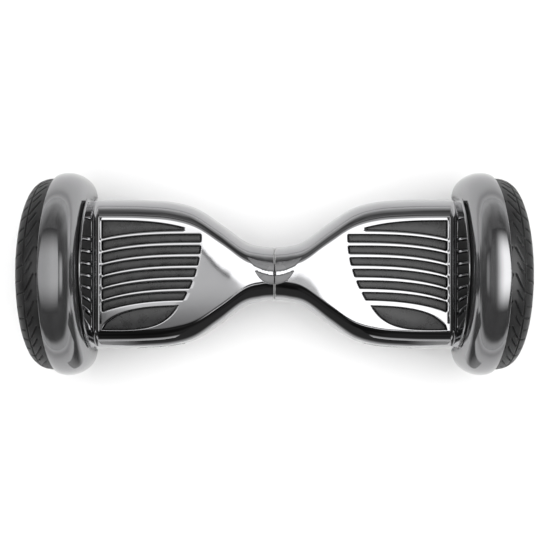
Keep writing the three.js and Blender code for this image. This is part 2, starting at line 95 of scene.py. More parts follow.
# ---- Materials ----
def nodes_of(name):
    material = bpy.data.materials.new(name)
    material.use_nodes = True
    tree = material.node_tree
    return material, tree, tree.nodes["Principled BSDF"]


def noise(tree, scale, detail=4.0, stretch=(1, 1, 1)):
    coords = tree.nodes.new("ShaderNodeTexCoord")
    mapping = tree.nodes.new("ShaderNodeMapping")
    mapping.inputs["Scale"].default_value = stretch
    texture = tree.nodes.new("ShaderNodeTexNoise")
    texture.inputs["Scale"].default_value = scale
    texture.inputs["Detail"].default_value = detail
    tree.links.new(coords.outputs["Object"], mapping.inputs["Vector"])
    tree.links.new(mapping.outputs["Vector"], texture.inputs["Vector"])
    return texture.outputs["Fac"]


def ramp(tree, factor, low, high, start=0.35, end=0.65):
    node = tree.nodes.new("ShaderNodeValToRGB")
    node.color_ramp.elements[0].position = start
    node.color_ramp.elements[1].position = end
    node.color_ramp.elements[0].color = (*low, 1)
    node.color_ramp.elements[1].color = (*high, 1)
    tree.links.new(factor, node.inputs["Fac"])
    return node.outputs["Color"]


def roughen(tree, shader, factor, low, high):
    node = tree.nodes.new("ShaderNodeMapRange")
    node.inputs["To Min"].default_value = low
    node.inputs["To Max"].default_value = high
    tree.links.new(factor, node.inputs["Value"])
    tree.links.new(node.outputs["Result"], shader.inputs["Roughness"])


def emboss(tree, shader, height, strength, distance):
    node = tree.nodes.new("ShaderNodeBump")
    node.inputs["Strength"].default_value = strength
    node.inputs["Distance"].default_value = distance
    tree.links.new(height, node.inputs["Height"])
    tree.links.new(node.outputs["Normal"], shader.inputs["Normal"])


def finish(name, low, high, rough, metal=0.0, patch=30, grain=900, bump=0.3, depth=0.0002,
           stretch=(1, 1, 1)):
    """A surface whose tone wanders between two colours and whose grain is embossed."""
    material, tree, shader = nodes_of(name)
    shader.inputs["Metallic"].default_value = metal
    wander = noise(tree, patch, 5)
    tree.links.new(ramp(tree, wander, low, high), shader.inputs["Base Color"])
    roughen(tree, shader, wander, rough[0], rough[1])
    if bump:
        emboss(tree, shader, noise(tree, grain, 3, stretch), bump, depth)
    return material


def grey(value):
    return (value, value, value * 1.02)


CHROME = finish("chrome_plating", grey(0.345), grey(0.36), (0.03, 0.06), 1.0, 9, 14, 0.12, 0.0006)
# The fenders' chrome is the same plating painted a darker grey, as painted shade that dims their
# reflections. It is also rougher.
FENDER_CHROME_PAINTED_SHADE = finish("fender_plating_painted_shade", grey(0.25), grey(0.265), (0.1, 0.13), 0.9, 9, 14, 0.12,
                       0.0006)
MAT = finish("mat_rubber", grey(0.010), grey(0.024), (0.2, 0.36), 0.0, 60, 420, 0.15, 0.0003)
KICK = finish("kick_rubber", grey(0.008), grey(0.014), (0.45, 0.6), 0.0, 60, 420, 0.2, 0.0003)
TREAD = finish("tread_rubber", grey(0.008), grey(0.016), (0.36, 0.6), 0.0, 45, 900, 0.5, 0.0003)
ALLOY = finish("cast_alloy", grey(0.42), grey(0.5), (0.3, 0.42), 1.0, 40, 700, 0.35, 0.0002)
STEEL = finish("bright_steel", grey(0.5), grey(0.58), (0.18, 0.3), 1.0, 40, 300, 0.2, 0.0001, (1, 12, 12))
BLACK = finish("black_plastic", grey(0.018), grey(0.028), (0.4, 0.52), 0.0, 40, 1200, 0.4, 0.0002)
LENS = finish("lamp_lens", grey(0.12), grey(0.15), (0.24, 0.32), 0.0, 25, 160, 0.1, 0.0002)
BOARD = finish("circuit_board", (0.01, 0.06, 0.03), (0.015, 0.09, 0.04), (0.35, 0.5), 0.0, 90, 600)
WRAP = finish("battery_wrap", (0.02, 0.07, 0.22), (0.03, 0.1, 0.28), (0.3, 0.42), 0.0, 30, 200)
IRON = finish("lamination", grey(0.1), grey(0.16), (0.4, 0.55), 1.0, 60, 900, 0.5, 0.0003, (8, 1, 1))
BUTTON = finish("button_face", grey(0.35), grey(0.42), (0.25, 0.35), 1.0, 60, 500)


def glass():
    material, tree, shader = nodes_of("clear_lens")
    shader.inputs["Base Color"].default_value = (0.9, 0.93, 0.95, 1)
    shader.inputs["Transmission Weight"].default_value = 0.85
    shader.inputs["IOR"].default_value = 1.46
    roughen(tree, shader, noise(tree, 60), 0.03, 0.09)
    return material


CLEAR = glass()
CAD_FINISHES = {
    "chrome_plated_shell": CHROME,
    "cast_alloy": ALLOY,
    "mat_rubber": MAT,
    "tyre_rubber": TREAD,
    "steel": STEEL,
    "black_plastic": BLACK,
    "lamp_lens": LENS,
    "clear_lens": CLEAR,
    "circuit_board": BOARD,
    "lamination": IRON,
    "magnet": STEEL,
    "cable_sheath": BLACK,
    "battery_wrap": WRAP,
}


def dress_cad_nodes():
    for part in frame["record"]["subparts"]:
        piece = frame["nodes"][part["node"]]
        piece.data.materials.clear()
        piece.data.materials.append(CAD_FINISHES[part["material_slot"]])
    frame["nodes"]["power_button"].data.materials[0] = BUTTON


# ---- Mesh helpers ----
class Skin:
    """Patches of points that are welded into one mesh."""

    def __init__(self):
        self.points = []
        self.faces = []
        self.count = 0

    def grid(self, patch, wrap=False, keep=None):
        """Faces over a grid of points; keep marks the faces to make by their first corner."""
        rows, cols = patch.shape[:2]
        start = self.count
        self.points.append(patch.reshape(-1, 3))
        self.count += rows * cols
        for i in range(rows - 1 + wrap):
            below = start + ((i + 1) % rows) * cols
            here = start + i * cols
            for j in range(cols - 1):
                if keep is None or keep[i, j]:
                    self.faces.append((here + j, here + j + 1, below + j + 1, below + j))

    def cap(self, ring):
        start = self.count
        self.points.append(np.asarray(ring, float))
        self.count += len(ring)
        self.faces.append(tuple(range(start, start + len(ring))))

    def piece(self, name, body, material, side=1, node=None, slot=None, sharp=None):
        points = np.vstack(self.points) * (side, 1, 1)
        points[:, 2] += AXLE_Z
        mesh = bpy.data.meshes.new(name)
        mesh.from_pydata((points * 0.001).tolist(), [], self.faces)
        work = bmesh.new()
        work.from_mesh(mesh)
        bmesh.ops.delete(work, geom=[v for v in work.verts if not v.link_faces], context="VERTS")
        bmesh.ops.remove_doubles(work, verts=work.verts, dist=2e-6)
        bmesh.ops.dissolve_degenerate(work, edges=work.edges, dist=1e-6)
        bmesh.ops.recalc_face_normals(work, faces=work.faces)
        work.to_mesh(mesh)
        work.free()
        mesh.shade_smooth()
        if sharp:
            mesh.set_sharp_from_angle(angle=math.radians(sharp))
        mesh.materials.append(material)
        made = bpy.data.objects.new(name, mesh)
        bpy.context.scene.collection.objects.link(made)
        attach(made, body)
        if node:
            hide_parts(*([node] if isinstance(node, str) else node))


def ease(x, start, end):
    t = np.clip((np.asarray(x, float) - start) / (end - start), 0, 1)
    return t * t * (3 - 2 * t)


def spline(points, steps=12, closed=False):
    """A smooth curve through the points."""
    p = np.array(points, float)
    p = np.vstack([p[-1], p, p[0], p[1]]) if closed else np.vstack([p[0], p, p[-1]])
    out = []
    t = np.linspace(0, 1, steps, endpoint=False)[:, None]
    for i in range(1, len(p) - 2):
        a, b, c, d = p[i - 1 : i + 3]
        v, w = (c - a) / 2, (d - b) / 2
        out.append((2 * b - 2 * c + v + w) * t**3 + (3 * c - 3 * b - 2 * v - w) * t**2 + v * t + b)
    if not closed:
        out.append(p[-2:-1])
    return np.vstack(out)


def bezier(a, b, c, d, steps=40):
    t = np.linspace(0, 1, steps + 1)[:, None]
    a, b, c, d = (np.array(q, float) for q in (a, b, c, d))
    return (1 - t) ** 3 * a + 3 * t * (1 - t) ** 2 * b + 3 * t * t * (1 - t) * c + t**3 * d


def turned(profile, angles):
    """A profile of (x, radius) turned about the axle; rows follow the angles."""
    p = np.asarray(profile, float)
    a = np.asarray(angles, float)[:, None]
    x = np.broadcast_to(p[:, 0], (len(a), len(p)))
    return np.stack([x, p[:, 1] * np.cos(a), p[:, 1] * np.sin(a)], -1)


def full_turn(steps):
    return np.linspace(0, 2 * math.pi, steps, endpoint=False)


def depth_inside(x, y, outline):
    """How far inside a closed outline each point lies; negative outside."""
    poly = np.asarray(outline, float)
    nxt = np.roll(poly, -1, axis=0)
    best = np.full(x.shape, 1e9)
    inside = np.zeros(x.shape, bool)
    for (ax, ay), (bx, by) in zip(poly, nxt):
        dx, dy = bx - ax, by - ay
        length = dx * dx + dy * dy
        if length < 1e-12:
            continue
        t = np.clip(((x - ax) * dx + (y - ay) * dy) / length, 0, 1)
        best = np.minimum(best, np.hypot(x - ax - t * dx, y - ay - t * dy))
        if ay != by:
            inside ^= ((ay > y) != (by > y)) & (x < (bx - ax) * (y - ay) / (by - ay) + ax)
    return np.where(inside, best, -best)


def sunk(depth, rounding, floor):
    """Drop of a surface near an opening: a rounded lip, then a steep wall down to the floor."""
    t = np.clip(depth + rounding, 0, rounding)
    lip = rounding - np.sqrt(rounding**2 - t**2)
    return np.minimum(lip + np.maximum(depth, 0) * 9, floor)


def shrunk(outline, distance):
    """Moves an outline inwards, whichever way it runs."""
    p = np.asarray(outline, float)
    back = p - np.roll(p, 1, axis=0)
    ahead = np.roll(p, -1, axis=0) - p
    back /= np.maximum(np.linalg.norm(back, axis=1), 1e-9)[:, None]
    ahead /= np.maximum(np.linalg.norm(ahead, axis=1), 1e-9)[:, None]
    along = back + ahead
    along /= np.maximum(np.linalg.norm(along, axis=1), 1e-9)[:, None]
    q = np.roll(p, -1, axis=0)
    turn = np.sign(np.sum(p[:, 0] * q[:, 1] - q[:, 0] * p[:, 1]))
    reach = distance / np.maximum(np.sum(along * ahead, axis=1), 0.5)
    return p + turn * np.stack([-along[:, 1], along[:, 0]], -1) * reach[:, None]


# ---- The body's form ----
PLAN = spline([
    (-20, 36.5), (0, 35.3), (17, 36.6), (38, 42.8), (70, 66), (102, 86.5), (134, 95.4), (172, 98.3),
    (205, 99), (240, 99),
])


def half_width(x):
    return np.interp(x, PLAN[:, 0], PLAN[:, 1])


def top_flat(x):
    return np.maximum(6, half_width(x) - 27)


def keel_flat(x):
    return np.maximum(6, half_width(x) - 40)


def top_rise(x):
    return 40 + 2 * ease(x, 4, 94)


def keel_drop(x):
    return 35.5 + 26.5 * ease(x, 0, 100)


def deck_height(x, y, inset=0.0):
    flat = top_flat(x)
    over = np.clip((np.abs(y) - flat) / (half_width(x) - inset - flat), 0, 1)
    return (top_rise(x) - inset) * np.sqrt(1 - over**2)


# ---- Deck openings ----
def rib_y(k, x):
    share = np.clip((np.asarray(x, float) - DECK_START) / RIB_RUN, 0, 1) ** 3
    return (FIRST_RIB - RIB_PITCH * k) * (1 - share) + (44 - 15.7 * k) * share


def rib_half(x):
    return 2.7 - 0.6 * np.clip((np.asarray(x, float) - DECK_START) / RIB_RUN, 0, 1)


def neck_shift(y):
    """How far the slots' ends lie from the start of the deck, at a place across the board."""
    return NECK_SWEEP * (np.clip((FIRST_RIB - y) / RIB_PITCH + 0.5, 1, RIBS) - 1) ** 2


def neck_pull(u):
    """The share of that shift that a station follows."""
    return np.where(u < DECK_START, ease(u, 44, DECK_START), 1 - ease(u, DECK_START, 165))


def neck_end(y):
    """Where the slots end towards the neck."""
    return DECK_START + neck_shift(y)


def strip(back, front, start, end, inset, steps=60):
    """An opening between two curves, as a closed outline inset on every side."""
    x = np.linspace(start + inset, end - inset, steps)
    upper = np.stack([x, back(x) - inset], -1)
    lower = np.stack([x, front(x) + inset], -1)
    return upper, lower


def slot_edges(k, inset, end_gap=None):
    """The two edges of a slot; end_gap is the inset at its ends, where it differs."""
    gap = inset if end_gap is None else end_gap

    def back(x):
        return rib_y(k - 1, x) - rib_half(x)

    def front(x):
        return rib_y(k, x) + rib_half(x)

    upper, lower = strip(back, front, DECK_START, SLOT_END, inset)
    for chain in (upper, lower):
        start, share = neck_end(chain[0, 1]) + gap, np.linspace(0, 1, len(chain))
        chain[:, 0] = start + (SLOT_END - gap - start) * share
    upper[:, 1] = back(upper[:, 0]) - inset
    lower[:, 1] = front(lower[:, 0]) + inset
    return upper, lower


def wedge_back(x):
    return 68.5 - 10 * ((RIB_END - x) / 107) ** 3


def wedge_edges(inset, start=116):
    def front(x):
        return rib_y(0, x) + rib_half(x)

    return strip(wedge_back, front, start, SLOT_END, inset)


LEAF_BACK = bezier((124.5, -41), (170, -41.5), (211, -47), (221.3, -71.5))
LEAF_FRONT = bezier((124.5, -41), (142, -71), (170, -73), (221.3, -71.5))


def leaf_edges(inset):
    back, front = LEAF_BACK, LEAF_FRONT
    if inset:
        whole = shrunk(np.vstack([back, front[-2:0:-1]]), inset)
        tip = len(back) - 1
        back, front = whole[: tip + 1], np.vstack([whole[0], whole[:tip:-1], whole[tip]])
    return back, front


def closed(edges):
    return np.vstack([edges[0], edges[1][::-1]])


OPENINGS = [(closed(slot_edges(k, 1.5)), 1.5) for k in range(1, RIBS)]
OPENINGS += [(closed(wedge_edges(0.7)), 0.7), (closed(leaf_edges(0)), 0.0)]
CRESCENTS = [
    np.vstack([
        spline([(-4, 14.7), (4, 15.0), (16, 16.6), (26, 18.9), (34.6, 21.6)]),
        spline([(34.6, 20.6), (27, 11.6), (16, 6.1), (5, 3.6), (-4, 3.2)]),
    ]),
    np.vstack([
        spline([(-4, -2.1), (4, -1.8), (12, -0.2), (24.6, 4.4)]),
        spline([(24.6, 3.4), (19, -4.9), (12, -10.4), (4, -13.4), (-4, -14.2)]),
    ]),
]


def deck_drop(x, y):
    drop = np.zeros(x.shape)
    for outline, corner in OPENINGS:
        drop = np.maximum(drop, sunk(depth_inside(x, y, outline) + corner, EDGE, WELL_DEPTH))
    for outline in CRESCENTS:
        drop = np.maximum(drop, sunk(depth_inside(x, y, outline), 0.3, 1.4))
    return drop


# ---- End wall ----
def lean(y):
    fade = ease(y, -94, -72) * (1 - ease(y, 74, 94))
    return 0.0014 * (44 - y) ** 2 * fade


def wall_top(y, radius):
    return np.sqrt(np.maximum(radius**2 - (y - WALL_Y) ** 2, 1))


def wall_foot(y):
    """Fillet radius, and the height where the wall's face starts."""
    radius = FILLET * (1 - 0.6 * ease(np.abs(y), 72, 94))
    return radius, deck_height(DECK_END, y) + radius * math.cos(CREASE_TILT)


def wall_line(y, share):
    """The point of the wall's face on the line that starts at y, a share of the way up."""
    foot = wall_foot(y)[1]
    up = y + lean(y) * share
    top = wall_top(y + lean(y), FACE_R)
    return up, foot + (top - foot) * share


def wall_face(y, z):
    """Where the wall's face lies along X."""
    foot, top = wall_foot(y)[1], wall_top(y, FACE_R)
    return WALL_FOOT + (WALL_X - WALL_FOOT) * np.clip((z - foot) / (top - foot), 0, 1)


def cell_edges(back, front, inset, top_gap=2.0):
    t = np.linspace(0, 1, 24)
    chains = []
    for y0, step in ((back, -inset), (front, inset)):
        foot = wall_foot(y0)[1]
        low = foot + 2.2 + inset
        y_top = y0 + lean(y0) + step
        high = wall_top(y_top, FACE_R - top_gap - inset)
        z = low + (high - low) * t
        full = wall_top(y0 + lean(y0), FACE_R)
        chains.append(np.stack([y0 + lean(y0) * (z - foot) / (full - foot) + step, z], -1))
    return chains


def wall_cells(inset):
    ribs = [float(rib_y(k, RIB_END)) for k in range(RIBS)]
    pairs = [(ribs[k] - 2.1, ribs[k + 1] + 2.1) for k in range(RIBS - 1)]
    pairs += [(68.5, ribs[0] + 2.1), (ribs[6] - 5.5, -69.5)]
    return [cell_edges(back, front, inset) for back, front in pairs]


def wall_drop(y, z):
    drop = np.zeros(y.shape)
    for cell in wall_cells(0.9):
        drop = np.maximum(drop, sunk(depth_inside(y, z, closed(cell)) + 0.9, EDGE, CELL_DEPTH))
    return drop


# ---- Top shell ----
HEADLIGHT = np.array([
    (118, 8), (121, 12), (126, 14), (150, 15.5), (174, 14), (179, 12), (182, 8), (179, 4), (174, 2.5),
    (150, 1), (126, 2.5), (121, 4),
], float)
HEADLIGHT = spline(HEADLIGHT, 4, closed=True)
CORE = math.radians(20)
SHOULDER = math.radians(54.6)


def core_half(x):
    return top_flat(x) + (half_width(x) - top_flat(x)) * math.sin(CORE)


def leaf_line(edge, sign):
    """An edge of the leaf opening, held clear of the other edge at its two tips."""

    def line(x):
        back = np.interp(x, LEAF_BACK[:, 0], LEAF_BACK[:, 1])
        front = np.interp(x, LEAF_FRONT[:, 0], LEAF_FRONT[:, 1])
        middle = (back + front) / 2
        y = back if sign > 0 else front
        return middle + sign * np.maximum(np.abs(y - middle), 0.8) + edge

    return line


def deck_lines():
    """The lines that run from the neck to the wheel, as functions of x, from back to front."""
    lines = []

    def between(upper, lower, shares):
        for share in shares:
            lines.append(lambda x, s=share: upper(x) + (lower(x) - upper(x)) * s)

    def edge(k, sign, inward):
        return lambda x: rib_y(k, x) + sign * (rib_half(x) - inward)

    def wedge(offset):
        return lambda x: np.maximum(wedge_back(x), rib_y(0, x) + rib_half(x) + 2) + offset

    between(core_half, wedge(EDGE), np.linspace(0, 1, 18)[:-1])
    lines += [wedge(s) for s in EDGE_STEPS[::-1]]
    between(wedge(-0.55), edge(0, 1, -0.55), np.linspace(0, 1, 14)[1:-1])
    for k in range(RIBS):
        lines += [edge(k, 1, s) for s in EDGE_STEPS]
        lines.append(lambda x, k=k: rib_y(k, x))
        lines += [edge(k, -1, s) for s in EDGE_STEPS[::-1]]
        if k < RIBS - 1:
            between(edge(k, -1, -0.55), edge(k + 1, 1, -0.55), (0.33, 0.67))
    between(edge(6, -1, -0.55), leaf_line(EDGE, 1), (0.25, 0.5, 0.75))
    lines += [leaf_line(s, 1) for s in EDGE_STEPS[::-1]]
    between(leaf_line(-0.55, 1), leaf_line(0.55, -1), np.linspace(0, 1, 16)[1:-1])
    lines += [leaf_line(-s, -1) for s in EDGE_STEPS]
    between(leaf_line(-EDGE, -1), lambda x: -core_half(x), np.linspace(0, 1, 20)[1:])
    return lines


NECK_LIP = [(3.0, 3.8), (1.5, 3.4), (0.95, 1.6), (1.0, 0.9), (1.25, 0.4), (1.65, 0.1), (2.1, 0.0)]


def deck_stations():
    """Stations along the deck as (x, inset), with a rounded lip at the neck."""
    near = list(np.arange(2.5, 37, 0.4)) + list(np.arange(37, 91, 2.0))
    edge = [92.6, 93, 93.3, 93.6, 93.82, 93.95, 94, 94.55, 95.2]
    along = list(np.arange(96.2, SLOT_END - 1.4, 1.0))
    last = [SLOT_END + s for s in (-1.2, -0.55, 0, 0.05, 0.18, 0.4, 0.7, 1.0, 1.5)]
    return NECK_LIP + [(u, 0.0) for u in near + edge + along + last]


def top_sheet():
    """The deck, the fillet, the end wall's face, its rim and its back."""
    stations = np.array(deck_stations())
    u, inset = stations[:, 0], stations[:, 1]
    lines = deck_lines()
    at_neck = np.array([float(line(np.array(float(DECK_START)))) for line in lines])
    shift = neck_shift(at_neck)
    pull = neck_pull(u)
    rows = []
    angles = np.linspace(SHOULDER, CORE, 8)[:-1]

    def outer(sign, angle, moved):
        x = u + moved * pull
        flat = top_flat(x)
        y = sign * (flat + (half_width(x) - inset - flat) * math.sin(angle))
        return np.stack([x, y, (top_rise(x) - inset) * math.cos(angle)], -1)

    rows += [outer(1, a, shift[0]) for a in angles]
    for line, neck_y, moved in zip(lines, at_neck, shift):
        x = u + moved * pull
        fan = neck_y * core_half(x) / core_half(DECK_START)
        y = np.where(x < DECK_START, fan, line(np.maximum(x, DECK_START)))
        rows.append(np.stack([x, y, deck_height(x, y, inset)], -1))
    rows += [outer(-1, a, shift[-1]) for a in angles[::-1]]
    deck = np.array(rows)
    lip_end = inset > 0
    drop = deck_drop(deck[..., 0], deck[..., 1])
    drop = np.where(lip_end, np.minimum(drop, 0.6), drop)
    deck[..., 2] -= drop
    # The third item marks the faces more than 2.4 mm down the wells, which are drawn black: painted shade in
    # the gaps round the mats.
    return deck, wall_sheet(deck[:, -1]), deep(drop, 2.4)


def deep(drop, limit):
    """The faces whose four corners all lie deeper than a limit."""
    low = drop > limit
    return np.pad(low[:-1, :-1] & low[1:, :-1] & low[:-1, 1:] & low[1:, 1:], ((0, 1), (0, 1)))


FACE_COLUMNS = slice(12, 58)  # the columns of the end wall's sheet that lie on its face


def wall_sheet(start):
    y0, z0 = start[:, 1], start[:, 2]
    radius, foot = wall_foot(y0)
    crease = WALL_FOOT - radius * (1 - math.sin(CREASE_TILT))
    columns = [(crease - 0.15, y0, z0), (crease, y0, z0)]
    for a in np.radians([26, 30, 36, 43, 50, 58, 66, 74, 82, 90]):
        rise = radius * (math.cos(CREASE_TILT) - np.cos(a))
        columns.append((WALL_FOOT - radius * (1 - np.sin(a)), y0, z0 + rise))
    reach = wall_line(y0, 1.0)[1] - foot
    low, high = np.minimum(5, 0.4 * reach), np.minimum(9.6, 0.4 * reach)
    heights = [low / 5 * h for h in (0.6, 1.15, 1.22, 1.4, 1.6, 1.85, 2.05, 2.2, 2.5, 3.6, 5)]
    heights += [low + (reach - low - high) * s for s in np.linspace(0, 1, 12)[1:]]
    heights += [reach - high + high * s for s in np.linspace(0, 1, 24)[1:]]
    for h in heights:
        y, z = wall_line(y0, h / reach)
        columns.append((WALL_FOOT + (WALL_X - WALL_FOOT) * h / reach + wall_drop(y, z), y, z))
    y, z = wall_line(y0, 1.0)
    away = np.stack([y - WALL_Y, z], -1) / (FACE_R)
    for a in np.radians([18, 36, 54, 72, 90, 108, 126, 144, 162, 180]):
        out = FACE_R + WALL_LIP * math.sin(a)
        x = WALL_X + WALL_LIP - WALL_LIP * math.cos(a)
        columns.append((x, WALL_Y + away[:, 0] * out, away[:, 1] * out))
    for s in (0.25, 0.5, 0.75, 1.0):
        columns.append((BODY_END, y, z + (PARTING + 0.15 - z) * s))
    return np.stack([np.stack(np.broadcast_arrays(*c), -1) for c in columns], 1)


def side_sheet(sign, stations):
    """The flank from the shoulder down to the parting line."""
    u, inset = np.array(stations).T
    flat, half = top_flat(u), half_width(u) - inset
    rows = []
    for angle in np.linspace(SHOULDER, math.pi / 2, 14):
        rows.append(np.stack([u, sign * (flat + (half - flat) * math.sin(angle)),
                              (top_rise(u) - inset) * math.cos(angle)], -1))
    for z, tuck in ((-1.6, 0), (-3.2, 0), (-4.3, 0.02), (-4.7, 0.2), (-4.85, 0.7), (-4.85, 3)):
        rows.append(np.stack([u, sign * (half - 0.1 - tuck), np.full(u.shape, z)], -1))
    sheet = np.array(rows)
    if sign < 0:
        lamp = sunk(depth_inside(sheet[..., 0], sheet[..., 2], HEADLIGHT), 0.6, 3.0)
        sheet[..., 1] += lamp
    return sheet


FLANGE_Y = 93.5  # how far in the top shell's lower edge reaches
END_LIP = [(224, 0), (227, 0), (230, 0), (233, 0), (235.6, 0), (236.3, 0.12), (236.8, 0.5), (237, 1.2)]


def top_shell(side, prefix):
    skin, liner = Skin(), Skin()
    deck, wall, shaded_well_faces = top_sheet()
    # The deck's faces deep in the wells go into a black sheet of their own, as painted shade in the gaps
    # round the mats.
    skin.grid(deck, keep=~shaded_well_faces)
    liner.grid(deck, keep=shaded_well_faces)
    joined = np.concatenate([deck[:, -1:], wall], 1)
    skin.grid(joined)
    face = wall[:, FACE_COLUMNS]
    for row in (face[0], face[-1]):
        back = row.copy()
        back[:, 0] = BODY_END
        skin.grid(np.stack([row, back], 0))
    for sign, moved in ((1, 0.0), (-1, NECK_SWEEP * (RIBS - 1) ** 2)):
        stations = [(u + moved * float(neck_pull(u)), inset) for u, inset in deck_stations()]
        sheet = side_sheet(sign, stations + END_LIP)
        skin.grid(sheet)
        edge = sheet[:, -1]
        inner = edge.copy()
        inner[:, 1] = sign * FLANGE_Y
        skin.grid(np.stack([edge, inner], 0))
    # This black sheet deep in the wells is painted shade.
    liner.piece(f"{prefix}_deck_wells_painted_shade", f"{prefix}_half", BLACK, side, None, "black_plastic", 60)
    skin.piece(f"{prefix}_chrome_top", f"{prefix}_half", CHROME, side, f"{prefix}_top_shell",
               "chrome_plated_shell", 40)


# ---- Bottom shell ----
SEAM = 5.15  # the bottom shell's upper edge, below the axle line
SIDE_ROWS = 43  # rows of the bottom shell's sheet on one flank
FEET = [(112, 58), (216, 58)]
SOCKET = (208, -26)
SWITCH = (208, 26)


def bottom_shell(side, prefix):
    body = list(np.arange(2.6, 94, 1.8)) + list(np.arange(94, 235, 1.3))
    end = [(235.6, 0), (236.3, 0.12), (236.8, 0.5), (237, 1.3), (237, 8)]
    stations = np.array(NECK_LIP + [(x, 0) for x in body] + end)
    u, inset = stations.T
    flat, half, keel = keel_flat(u), half_width(u) - inset, keel_drop(u) - inset
    start = np.arcsin(np.clip(SEAM / keel, 0, 1))
    rows = []
    for tuck in (3, 0.7, 0.2):
        z = -SEAM - (0.15 if tuck < 0.5 else 0)
        rows.append(np.stack([u, half - 0.1 - tuck, np.full(u.shape, z)], -1))
    for s in np.linspace(0.02, 1, 40):
        a = start + (math.pi / 2 - start) * s
        rows.append(np.stack([u, flat + (half - flat) * np.cos(a), -keel * np.sin(a)], -1))
    for s in np.linspace(1, -1, 92)[1:-1]:
        rows.append(np.stack([u, flat * s, -keel], -1))
    mirrored = [r * (1, -1, 1) for r in rows[:SIDE_ROWS][::-1]]
    sheet = np.array(rows + mirrored)
    x, y = sheet[..., 0], sheet[..., 1]
    drop = np.zeros(x.shape)
    for cx, cy in FEET:
        for sign in (1, -1):
            drop = np.maximum(drop, sunk(5.4 - np.hypot(x - cx, y - sign * cy), 0.8, 4.0))
    under = sheet[..., 2] < -25
    groove = np.abs(np.maximum(np.abs(x - 166) - 56, np.abs(y) - 38)) if side < 0 else np.full(x.shape, 9.0)
    drop = np.maximum(drop, 0.7 * np.exp(-((groove / 0.7) ** 2)))
    sheet[..., 2] += np.where(under, drop, 0)
    keep = np.ones(x.shape, bool)
    if side > 0:
        for (cx, cy), radius in ((SOCKET, 10.4), (SWITCH, 9.4)):
            keep &= (np.hypot(x - cx, y - cy) > radius) | ~under
    skin = Skin()
    skin.grid(sheet, keep=keep)
    skin.cap(sheet[:, -1])
    skin.piece(f"{prefix}_chrome_bottom", f"{prefix}_half", CHROME, side, f"{prefix}_bottom_shell",
               "chrome_plated_shell", 40)


def screws(side, prefix):
    """Cross head screws in the bottom shell's four sockets."""
    skin = Skin()
    radii = np.array([0, 0.5, 0.9, 1.3, 1.7, 2.2, 2.8, 3.3, 3.6, 3.75, 3.8])
    angles = full_turn(48)
    r, a = np.meshgrid(radii, angles)
    x, y = r * np.cos(a), r * np.sin(a)
    dome = 1.5 * np.sqrt(np.clip(1 - (r / 3.9) ** 2, 0, 1))
    cross = (np.minimum(np.abs(x), np.abs(y)) < 0.5) & (r < 2.4)
    height = np.where(cross, -0.4, dome)
    for cx, cy in FEET:
        for sign in (1, -1):
            base = -keel_drop(cx) * (1 if cx > 150 else 0.985) + 3.6
            skin.grid(np.stack([cx + x, sign * cy + y, base - height], -1), wrap=True)
    skin.piece(f"{prefix}_shell_screws", f"{prefix}_half", STEEL, side, None, "steel", 40)


# ---- Rubber mats ----
def pad(skin, edges, place, top, bottom):
    """A raised rubber strip between two edges; place turns (a, b, height) into a point."""
    levels = [(0.0, bottom), (0.0, top - 0.7), (0.12, top - 0.3), (0.35, top - 0.08), (0.7, top)]
    outline = closed(edges)
    rings = []
    for inset, height in levels:
        ring = shrunk(outline, inset) if inset else outline
        rings.append(np.array([place(a, b, height) for a, b in ring]))
    skin.grid(np.array(rings).transpose(1, 0, 2), wrap=True)
    last = rings[-1]
    n = len(edges[0])
    skin.grid(np.stack([last[:n], last[n:][::-1]], 0))


MAT_TOP = 40.9
MAT_FOOT = 38.6


def foot_mat(side, prefix):
    skin = Skin()

    def place(x, y, height):
        return (x, y, float(deck_height(x, y)) - DECK_TOP + height)

    for k in range(1, RIBS):
        pad(skin, slot_edges(k, 0.95, 1.6), place, MAT_TOP, MAT_FOOT)
    pad(skin, wedge_edges(0.85, 118.5), place, MAT_TOP, MAT_FOOT)
    pad(skin, leaf_edges(1.0), place, MAT_TOP, MAT_FOOT)
    skin.piece(f"{prefix}_rubber_mat", f"{prefix}_mat", MAT, side, f"{prefix}_foot_mat",
               "mat_rubber", 50)


def kick_pad(side, prefix):
    skin = Skin()
    for cell in wall_cells(0.75):
        pad(skin, cell, lambda y, z, h: (float(wall_face(y, z)) + CELL_DEPTH - h, y, z), 2.35, 0.2)
    angles = np.radians(np.linspace(-54, 54, 40))
    arc = np.stack([3 + 98.5 * np.sin(angles), 98.5 * np.cos(angles)], -1)
    low = np.stack([arc[:, 0], np.full(len(arc), 50.0)], -1)
    sheets = (BODY_END + 0.4, BODY_END + 3.4)
    for x in sheets:
        skin.grid(np.stack([np.insert(arc, 0, x, 1), np.insert(low, 0, x, 1)], 0))
    skin.grid(np.stack([np.insert(arc, 0, x, 1) for x in sheets], 0))
    skin.grid(np.stack([np.insert(low, 0, x, 1) for x in sheets], 0))
    skin.piece(f"{prefix}_kick_rubber", f"{prefix}_half", KICK, side, f"{prefix}_kick_pad",
               "mat_rubber", 50)


